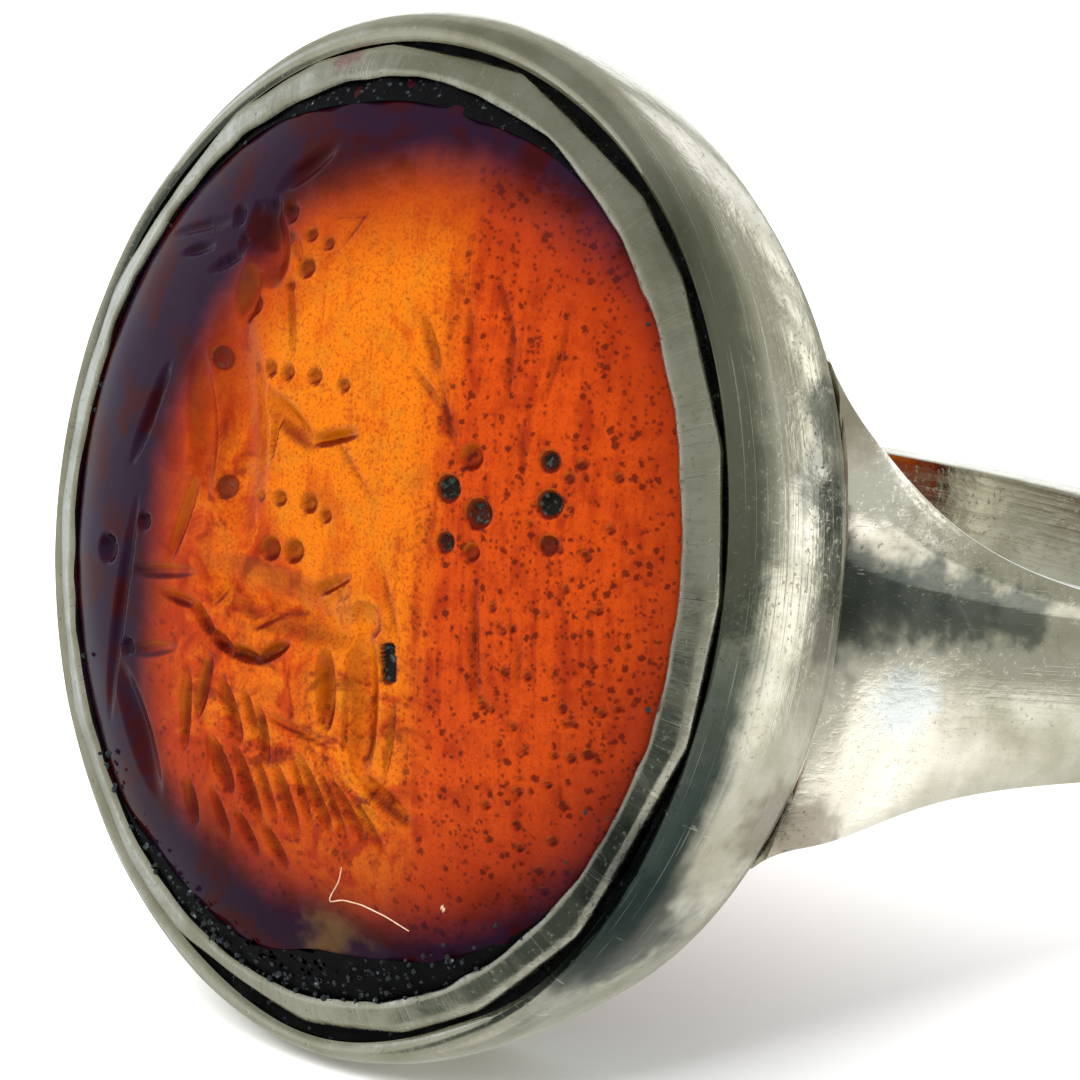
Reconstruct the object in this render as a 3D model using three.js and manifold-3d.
// A silver finger ring set with an oval intaglio gem, lying on its side as a dropped ring does.
// The stone is a domed cabochon with an open window behind it. A thin collet strip is rubbed over its
// edge, inside an oval ring head with a narrow moat between them. The hoop's two broad shoulders are
// soldered to the back of the head. Sizes are in millimetres.
// The ring is made upright about its own finger axis: X across the stone, -Y out of its face, Z along
// the finger. It is then leaned back until the head's lower edge and the hoop's back edge touch z = 0,
// and centred over the origin.
import * as THREE from "three";
import { mergeVertices } from "three/addons/utils/BufferGeometryUtils.js";
import Module from "manifold-3d";

const wasm = await Module();
wasm.setup();

// The stone: an oval cabochon, its girdle held below the lip of the collet, which is the plane y = 0.
const STONE_WIDTH = 12.64;
const STONE_LENGTH = 15.4;
const GIRDLE_DEPTH = 0.95;
const DOME_RISE = 1.0;
const DOME_FULLNESS = 2.6;
const STONE_BACK_DEPTH = 1.95;
const STONE_BACK_CHAMFER = 0.15;

// The collet strip around the stone.
const LIP_OVERLAP = 0.25;
const LIP_FACE_WIDTH = 0.53;
const LIP_FACE_DROP = 0.33;
const STONE_CLEARANCE = 0.06;

// The oval head, with the moat around the collet and the window behind the stone. The head's flange
// slopes evenly at its sides, and at its two ends it rounds over quickly and tucks back in. The whole
// head sits a little higher along the finger than the middle of the hoop.
const HEAD_RISE = 0.87;
const MOAT_SIDE_WIDTH = 0.1;
const MOAT_END_WIDTH = 0.22;
const FLANGE_START_DEPTH = 0.4;
const FLANGE_DEPTH = 2.35;
const FLANGE_SIDE_FLARE = 0.71;
const FLANGE_SIDE_FULLNESS = 1.6;
const FLANGE_END_BULGE = 0.43;
const FLANGE_END_ROUNDING = 0.9;
const FLANGE_END_TUCK = 0.42;
const FLANGE_BACK_BEVEL = 0.17;
const LEDGE_WIDTH = 1.45;
const SEAT_GAP = 0.05;

// The hoop around the finger, and the shoulders that join it to the head.
const FINGER_HOLE_DIAMETER = 18.1;
const HEAD_CENTRE_THICKNESS = 2.6;
const HOOP_THICKNESS = 1.25;
const HOOP_WIDTH = 2.6;
const HOOP_CROWN = 0.3;
const SHOULDER_WIDTH = 9.0;
const SHOULDER_RISE = 0.7;
const SHOULDER_SWELL = 0.9;
const SHOULDER_ANGLE = 36;
const SHOULDER_END_ANGLE = 14;
const SHOULDER_TAPER_ANGLE = 12.5;
const SHOULDER_SWELL_ANGLE = 12;
const SOLDER_GAP = 0.05;

// What the floor has worn flat, measured up from the lowest points of the rounded edges.
const REST_FLAT_DEPTH = 0.12;

// How finely the round forms are faceted.
const OVAL_SIDES = 64;
const FLANGE_STEPS = 7;
const DOME_STEPS = 7;
const LIP_STEPS = 3;
const HOOP_ARC_STEPS = 60;
const HOOP_BUNCHING = 0.6;
const HOOP_CROWN_STEPS = 6;
const CUT_SIDES = 7;
const CUT_STEPS = 5;

const STONE_HALF_WIDTH = STONE_WIDTH / 2;
const STONE_HALF_LENGTH = STONE_LENGTH / 2;
const OPENING_HALF_WIDTH = STONE_HALF_WIDTH - LIP_OVERLAP;
const OPENING_HALF_LENGTH = STONE_HALF_LENGTH - LIP_OVERLAP;
const FLANGE_BACK_DEPTH = FLANGE_START_DEPTH + FLANGE_DEPTH;
const HEAD_BACK_DEPTH = FLANGE_BACK_DEPTH + FLANGE_BACK_BEVEL;
const SEAT_DEPTH = STONE_BACK_DEPTH + SEAT_GAP;
const HOLE_RADIUS = FINGER_HOLE_DIAMETER / 2;
const HOOP_CENTRE_DEPTH = HEAD_CENTRE_THICKNESS + HOLE_RADIUS;
const HOOP_RADIUS = HOLE_RADIUS + HOOP_THICKNESS;
const FAR = 6 * HOOP_RADIUS;

// A three.js geometry as a manifold solid, with its shared vertices merged.
function solidOf(geometry) {
  const bare = geometry.clone();
  bare.deleteAttribute("normal");
  bare.deleteAttribute("uv");
  const merged = mergeVertices(bare, 1e-5);
  return new wasm.Manifold(
    new wasm.Mesh({
      numProp: 3,
      vertProperties: new Float32Array(merged.attributes.position.array),
      triVerts: new Uint32Array(merged.index.array),
    }),
  );
}

// A manifold solid as a three.js geometry.
function geometryOf(solid) {
  const mesh = solid.getMesh();
  const geometry = new THREE.BufferGeometry();
  geometry.setAttribute("position", new THREE.BufferAttribute(mesh.vertProperties, 3));
  geometry.setIndex(new THREE.BufferAttribute(mesh.triVerts, 1));
  geometry.computeVertexNormals();
  return geometry;
}

// A closed body from rings of points. Each ring joins the next; closed rings end where they started,
// and open ones are capped at both ends by a fan about the middle of the ring.
function bodyFromRings(rings, closed) {
  const sides = rings[0].length;
  const points = rings.flat();
  const faces = [];
  const bands = closed ? rings.length : rings.length - 1;
  for (let band = 0; band < bands; band++) {
    const here = band * sides;
    const next = ((band + 1) % rings.length) * sides;
    for (let side = 0; side < sides; side++) {
      const turn = (side + 1) % sides;
      faces.push(here + side, here + turn, next + turn, here + side, next + turn, next + side);
    }
  }
  if (!closed) {
    const last = (rings.length - 1) * sides;
    const start = points.length;
    for (const ring of [rings[0], rings.at(-1)]) {
      const middle = ring.reduce((sum, p) => sum.add(p), new THREE.Vector3());
      points.push(middle.divideScalar(sides));
    }
    for (let side = 0; side < sides; side++) {
      const turn = (side + 1) % sides;
      faces.push(start, turn, side, start + 1, last + side, last + turn);
    }
  }
  const geometry = new THREE.BufferGeometry().setFromPoints(points);
  geometry.setIndex(faces);
  const solid = solidOf(geometry);
  if (solid.volume() > 0) return solid;
  for (let i = 0; i < faces.length; i += 3) {
    [faces[i + 1], faces[i + 2]] = [faces[i + 2], faces[i + 1]];
  }
  geometry.setIndex(faces);
  return solidOf(geometry);
}

// One oval ring of points at a depth behind the lip, with its half width and half length.
function oval(halfWidth, halfLength, depth) {
  return Array.from({ length: OVAL_SIDES }, (_, side) => {
    const angle = (2 * Math.PI * side) / OVAL_SIDES;
    return new THREE.Vector3(
      halfWidth * Math.cos(angle),
      depth,
      HEAD_RISE + halfLength * Math.sin(angle),
    );
  });
}

// Half width and half length of an oval that stands off the collet's opening.
function offOpening(side, end = side) {
  return [OPENING_HALF_WIDTH + side, OPENING_HALF_LENGTH + end];
}

// The dome's height over the girdle at a share of the way out to it, and the share at a height.
const DOME_HEIGHT = GIRDLE_DEPTH + DOME_RISE;
const domeHeightAt = (share) =>
  DOME_HEIGHT * Math.max(0, 1 - share ** DOME_FULLNESS) ** (1 / DOME_FULLNESS);
const domeShareAt = (height) =>
  Math.max(0, 1 - (height / DOME_HEIGHT) ** DOME_FULLNESS) ** (1 / DOME_FULLNESS);

// The uncarved stone: flat back, upright girdle and full dome.
function plainStone() {
  const rings = [
    oval(STONE_HALF_WIDTH - STONE_BACK_CHAMFER, STONE_HALF_LENGTH - STONE_BACK_CHAMFER, STONE_BACK_DEPTH),
    oval(STONE_HALF_WIDTH, STONE_HALF_LENGTH, STONE_BACK_DEPTH - STONE_BACK_CHAMFER),
  ];
  for (let step = 0; step < DOME_STEPS; step++) {
    const rise = Math.sin((Math.PI / 2) * (step / DOME_STEPS));
    const height = DOME_HEIGHT * rise;
    const share = domeShareAt(height);
    rings.push(oval(share * STONE_HALF_WIDTH, share * STONE_HALF_LENGTH, GIRDLE_DEPTH - height));
  }
  return bodyFromRings(rings, false);
}

// The intaglio. Every cut is a boat-shaped or round hollow made by a small wheel or drill. Its ends
// are shares of the stone's half width and half length, and its width and depth shares of the
// half length, so that the carving keeps its place on the stone.
const cut = (from, to, width, depth) => ({ from, to, width, depth });
const pellet = (place, width, depth = width * 0.75) => cut(place, place, width, depth);

// Equal cuts spread along a path from one place to another.
function row(first, last, count, make) {
  return Array.from({ length: count }, (_, index) => {
    const share = count > 1 ? index / (count - 1) : 0;
    const along = first.map((value, axis) => value + share * (last[axis] - value));
    return make(along, index, share);
  });
}

// Head in profile: cheek and cap of hair, with nose and chin as two short cuts, a beaded wreath above
// and three ribbons behind.
function carvedHead() {
  const [across, up] = [-0.37, 0.59];
  const wreath = row([0, 0], [1, 1], 6, (_, index) => {
    const angle = Math.PI * (0.12 + 0.17 * index);
    return pellet([across + 0.125 * Math.cos(angle), up + 0.1 * Math.sin(angle)], 0.05);
  });
  const ribbons = row([-0.6, 0.62], [-0.52, 0.5], 3, ([x, z], index) =>
    cut([across - 0.12, up - 0.01 - 0.03 * index], [x - 0.09, z - 0.02], 0.032, 0.022),
  );
  return [
    cut([across - 0.02, up + 0.03], [across + 0.02, up - 0.045], 0.13, 0.06),
    cut([across + 0.085, up + 0.01], [across + 0.115, up - 0.025], 0.03, 0.03),
    cut([across + 0.05, up - 0.07], [across + 0.085, up - 0.085], 0.04, 0.035),
    cut([across - 0.03, up - 0.07], [across - 0.03, up - 0.17], 0.07, 0.045),
    ...wreath,
    ...ribbons,
  ];
}

// Chest, waist and the two rows of pellets that edge the garment.
function carvedBody() {
  return [
    cut([-0.4, 0.36], [-0.28, 0.06], 0.2, 0.06),
    cut([-0.49, 0.34], [-0.4, 0.08], 0.09, 0.045),
    ...row([-0.5, 0.32], [-0.1, 0.335], 6, (place) => pellet(place, 0.055, 0.075)),
    ...row([-0.39, 0.055], [-0.13, 0.075], 4, (place, index) => pellet(place, 0.06 - 0.005 * index, 0.075)),
    pellet([-0.19, -0.03], 0.09, 0.085),
  ];
}

// The near arm bends up towards the plant, and a staff leans behind the shoulder.
function carvedArms() {
  return [
    cut([-0.26, 0.3], [-0.08, 0.2], 0.075, 0.045),
    cut([-0.1, 0.2], [0.1, 0.31], 0.055, 0.035),
    pellet([0.125, 0.325], 0.045),
    cut([-0.62, 0.3], [-0.72, 0.06], 0.055, 0.035),
  ];
}

// Lap, knee and lower leg, with the swag of cloth that hangs between them.
function carvedLegs() {
  return [
    cut([-0.36, -0.1], [0.16, -0.16], 0.16, 0.065),
    cut([-0.41, -0.2], [-0.2, -0.27], 0.05, 0.035),
    cut([-0.22, -0.27], [0.03, -0.19], 0.05, 0.035),
    cut([0.15, -0.14], [0.21, -0.44], 0.11, 0.055),
    cut([0.05, -0.2], [0.07, -0.4], 0.05, 0.035),
    cut([0.2, -0.46], [0.36, -0.52], 0.055, 0.04),
  ];
}

// Cloth folds that fan out from the knee down to the hem.
function carvedFolds() {
  return row([-0.42, -0.3], [0.1, -0.36], 7, ([x, z], index, share) =>
    cut([x, z], [x + 0.12 + 0.05 * share, z - 0.3 + 0.05 * Math.abs(share - 0.5)], 0.042, 0.03),
  );
}

// The seat: two turned posts and the rail between them, with a pellet on each joint.
function carvedSeat() {
  return [
    cut([-0.66, 0.02], [-0.7, -0.5], 0.036, 0.03),
    cut([-0.66, -0.17], [-0.42, -0.13], 0.036, 0.03),
    cut([-0.62, -0.34], [-0.46, -0.3], 0.036, 0.026),
    pellet([-0.66, -0.06], 0.065),
    pellet([-0.7, -0.16], 0.085),
    pellet([-0.67, -0.36], 0.065),
  ];
}

// The tall plant: two clusters of round fruit, leaves fanning up and stems running down.
function carvedPlant() {
  const cluster = ([x, z], radius, count, width) => [
    pellet([x, z], width),
    ...row([0, 0], [1, 1], count, (_, index) => {
      const angle = (2 * Math.PI * index) / count + 0.5;
      const reach = [radius * 1.25 * Math.cos(angle), radius * Math.sin(angle)];
      return pellet([x + reach[0], z + reach[1]], width * (index % 2 ? 0.95 : 0.75));
    }),
  ];
  const leaves = row([0.12, 0.57], [0.5, 0.6], 4, ([x, z], index) =>
    cut([x, z - 0.03 * (index % 2)], [0.26 + 0.075 * index, 0.3], 0.04, 0.028),
  );
  const stems = row([0.36, 0.02], [0.6, 0.04], 3, ([x, z], index) =>
    cut([x, z], [x + 0.05, z - 0.32 + 0.09 * index], 0.03, 0.02),
  );
  return [
    ...cluster([0.34, 0.135], 0.085, 5, 0.058),
    ...row([0.58, 0.285], [0.6, 0.115], 3, (place, index) => pellet(place, index === 1 ? 0.065 : 0.05)),
    ...leaves,
    ...stems,
  ];
}

// The ground line under the figure.
function carvedGround() {
  return [cut([-0.5, -0.68], [0.42, -0.68], 0.04, 0.026)];
}

function intaglioCuts() {
  return [
    carvedHead,
    carvedBody,
    carvedArms,
    carvedLegs,
    carvedFolds,
    carvedSeat,
    carvedPlant,
    carvedGround,
  ].flatMap((make) => make());
}

// The point of the dome over a place given in shares of the half width and half length.
function domePoint([across, up]) {
  const share = Math.min(1, Math.hypot(across, up));
  return new THREE.Vector3(
    across * STONE_HALF_WIDTH,
    GIRDLE_DEPTH - domeHeightAt(share),
    HEAD_RISE + up * STONE_HALF_LENGTH,
  );
}

// The dome's outward normal at a place, from its slopes along both shares.
function domeNormal([across, up]) {
  const step = 0.01;
  const slopeX = domePoint([across + step, up]).sub(domePoint([across - step, up]));
  const slopeZ = domePoint([across, up + step]).sub(domePoint([across, up - step]));
  return slopeX.cross(slopeZ).normalize();
}

// The ellipsoid that hollows out one cut, laid along the dome's surface.
function cutter({ from, to, width, depth }) {
  const place = from.map((value, axis) => (value + to[axis]) / 2);
  const run = domePoint(to).sub(domePoint(from));
  const out = domeNormal(place);
  const along = run.length() > 0 ? run.clone() : new THREE.Vector3(1, 0, 0);
  along.addScaledVector(out, -along.dot(out)).normalize();
  const across = new THREE.Vector3().crossVectors(out, along);
  const halfWidth = (width * STONE_HALF_LENGTH) / 2;
  const ball = new THREE.SphereGeometry(1, CUT_SIDES, CUT_STEPS);
  ball.applyMatrix4(
    new THREE.Matrix4()
      .makeBasis(
        along.multiplyScalar(run.length() / 2 + halfWidth),
        across.multiplyScalar(halfWidth),
        out.multiplyScalar(depth * STONE_HALF_LENGTH),
      )
      .setPosition(domePoint(place)),
  );
  return solidOf(ball);
}

function stone() {
  const cutters = intaglioCuts().map(cutter);
  return geometryOf(plainStone().subtract(wasm.Manifold.union(cutters)));
}

// The collet: a strip whose lip follows the dome and whose outside drops away to the moat.
function collet() {
  const [outWidth, outLength] = offOpening(LIP_FACE_WIDTH);
  const rings = [
    oval(outWidth, outLength, LIP_FACE_DROP),
    oval(outWidth, outLength, SEAT_DEPTH - SEAT_GAP),
    oval(STONE_HALF_WIDTH + STONE_CLEARANCE, STONE_HALF_LENGTH + STONE_CLEARANCE, SEAT_DEPTH - SEAT_GAP),
  ];
  for (let step = 0; step <= LIP_STEPS; step++) {
    const height = (GIRDLE_DEPTH * step) / LIP_STEPS;
    const share = domeShareAt(height);
    rings.push(
      oval(
        Math.max(OPENING_HALF_WIDTH, share * STONE_HALF_WIDTH + STONE_CLEARANCE),
        Math.max(OPENING_HALF_LENGTH, share * STONE_HALF_LENGTH + STONE_CLEARANCE),
        GIRDLE_DEPTH - height,
      ),
    );
  }
  return geometryOf(bodyFromRings(rings, true));
}

// The flange's outline at a share of its depth: how far its sides and ends stand off the opening.
function flangeAt(share) {
  const depth = FLANGE_DEPTH * share;
  const rounding = Math.min(1, depth / FLANGE_END_ROUNDING);
  const side = FLANGE_SIDE_FLARE * (1 - (1 - share) ** FLANGE_SIDE_FULLNESS);
  const end = FLANGE_END_BULGE * Math.sqrt(1 - (1 - rounding) ** 2) - FLANGE_END_TUCK * share ** 2;
  return {
    side: LIP_FACE_WIDTH + MOAT_SIDE_WIDTH + side,
    end: LIP_FACE_WIDTH + MOAT_END_WIDTH + end,
    depth: FLANGE_START_DEPTH + depth,
  };
}

// The flange's outlines from front to back, closer together where its ends round over.
const FLANGE_OUTLINES = Array.from({ length: FLANGE_STEPS + 1 }, (_, step) =>
  flangeAt((step / FLANGE_STEPS) ** 2),
);

// The head: rounded flange outside, recess for the collet and stone, ledge and window behind them.
function head() {
  const back = FLANGE_OUTLINES.at(-1);
  const rings = [
    oval(...offOpening(-LEDGE_WIDTH), HEAD_BACK_DEPTH),
    oval(...offOpening(-LEDGE_WIDTH), SEAT_DEPTH),
    oval(...offOpening(FLANGE_OUTLINES[0].side, FLANGE_OUTLINES[0].end), SEAT_DEPTH),
    ...FLANGE_OUTLINES.map(({ side, end, depth }) => oval(...offOpening(side, end), depth)),
    oval(...offOpening(back.side - FLANGE_BACK_BEVEL, back.end - FLANGE_BACK_BEVEL), HEAD_BACK_DEPTH),
  ];
  return bodyFromRings(rings, true).subtract(fingerHole());
}

// The finger's own cylinder, which hollows the back of the head.
function fingerHole() {
  const cylinder = new THREE.CylinderGeometry(HOLE_RADIUS, HOLE_RADIUS, FAR, OVAL_SIDES);
  cylinder.rotateX(Math.PI / 2);
  cylinder.translate(0, HOOP_CENTRE_DEPTH, 0);
  return solidOf(cylinder);
}

// A block whose front face stands at a depth and that reaches far out of the stone's face.
function allInFrontOf(depth) {
  const block = new THREE.BoxGeometry(FAR, FAR, FAR);
  block.translate(0, depth - FAR / 2, 0);
  return solidOf(block);
}

// The hoop: a crowned band that widens and thickens into its shoulders. It is cut off flat behind the
// head, and its ends leave the window clear.
function hoop() {
  const rings = [];
  for (let step = 0; step <= HOOP_ARC_STEPS; step++) {
    const share = step / HOOP_ARC_STEPS;
    const bunched = share - (HOOP_BUNCHING * Math.sin(2 * Math.PI * share)) / (2 * Math.PI);
    rings.push(hoopSection(SHOULDER_END_ANGLE + (360 - 2 * SHOULDER_END_ANGLE) * bunched));
  }
  const seam = allInFrontOf(HEAD_BACK_DEPTH + SOLDER_GAP);
  return bodyFromRings(rings, false).subtract(seam).subtract(windowShaft());
}

// The window's own oval carried back to the middle of the finger hole, so that nothing covers it.
function windowShaft() {
  const [halfWidth, halfLength] = offOpening(-LEDGE_WIDTH);
  const ends = [SEAT_DEPTH, HOOP_CENTRE_DEPTH].map((depth) => oval(halfWidth, halfLength, depth));
  return bodyFromRings(ends, false);
}

// One section of the hoop, at an angle in degrees from the middle of the head.
function hoopSection(angle) {
  const past = Math.max(0, Math.min(angle, 360 - angle) - SHOULDER_ANGLE);
  const flare = Math.exp(-past / SHOULDER_TAPER_ANGLE);
  const halfWidth = HOOP_WIDTH / 2 + ((SHOULDER_WIDTH - HOOP_WIDTH) / 2) * flare;
  const reach = HOOP_RADIUS + SHOULDER_SWELL * Math.exp(-((past / SHOULDER_SWELL_ANGLE) ** 2));
  const turn = THREE.MathUtils.degToRad(angle);
  const at = (radius, height) =>
    new THREE.Vector3(
      radius * Math.sin(turn),
      HOOP_CENTRE_DEPTH - radius * Math.cos(turn),
      SHOULDER_RISE * flare + height,
    );
  const section = [at(HOLE_RADIUS, halfWidth), at(HOLE_RADIUS, -halfWidth)];
  for (let step = 0; step <= HOOP_CROWN_STEPS; step++) {
    const height = (2 * step) / HOOP_CROWN_STEPS - 1;
    section.push(at(reach - HOOP_CROWN * height * height, halfWidth * height));
  }
  return section;
}

// The lean that lets the ring lie on the lower end of its head and the back of its hoop.
const HOOP_BACK_DEPTH = HOOP_CENTRE_DEPTH + HOOP_RADIUS - HOOP_CROWN;
const LEAN = Math.max(
  ...FLANGE_OUTLINES.map(({ end, depth }) =>
    Math.atan2(
      OPENING_HALF_LENGTH + end - HEAD_RISE - HOOP_WIDTH / 2,
      HOOP_BACK_DEPTH - depth,
    ),
  ),
);
const FLOOR_DROP = HOOP_BACK_DEPTH * Math.sin(LEAN) + (HOOP_WIDTH / 2) * Math.cos(LEAN) - REST_FLAT_DEPTH;

// Everything under the floor, seen from the upright ring, so that it wears its resting flats.
function belowFloor() {
  const block = new THREE.BoxGeometry(FAR, FAR, FAR);
  block.translate(0, 0, -FLOOR_DROP - FAR / 2);
  block.rotateX(LEAN);
  return solidOf(block);
}

function silver(colour, roughness) {
  return new THREE.MeshStandardMaterial({ color: colour, roughness, metalness: 1 });
}

function piece(name, geometry, material) {
  const mesh = new THREE.Mesh(geometry, material);
  mesh.name = name;
  return mesh;
}

const floor = belowFloor();
const orangeStone = new THREE.MeshStandardMaterial({ color: 0xd9560f, roughness: 0.08, metalness: 0 });

const ring = new THREE.Group();
ring.add(piece("intaglio_stone", stone(), orangeStone));
ring.add(piece("collet", collet(), silver(0xb9b8a4, 0.35)));
ring.add(piece("ring_head", geometryOf(head().subtract(floor)), silver(0xb2b09c, 0.3)));
ring.add(piece("hoop", geometryOf(hoop().subtract(floor)), silver(0xb7b5a3, 0.3)));
ring.rotation.x = -LEAN;
ring.position.z = FLOOR_DROP;

const extent = new THREE.Box3().setFromObject(ring, true);
ring.position.y = -(extent.min.y + extent.max.y) / 2;

const model = new THREE.Group();
model.add(ring);
export default model;
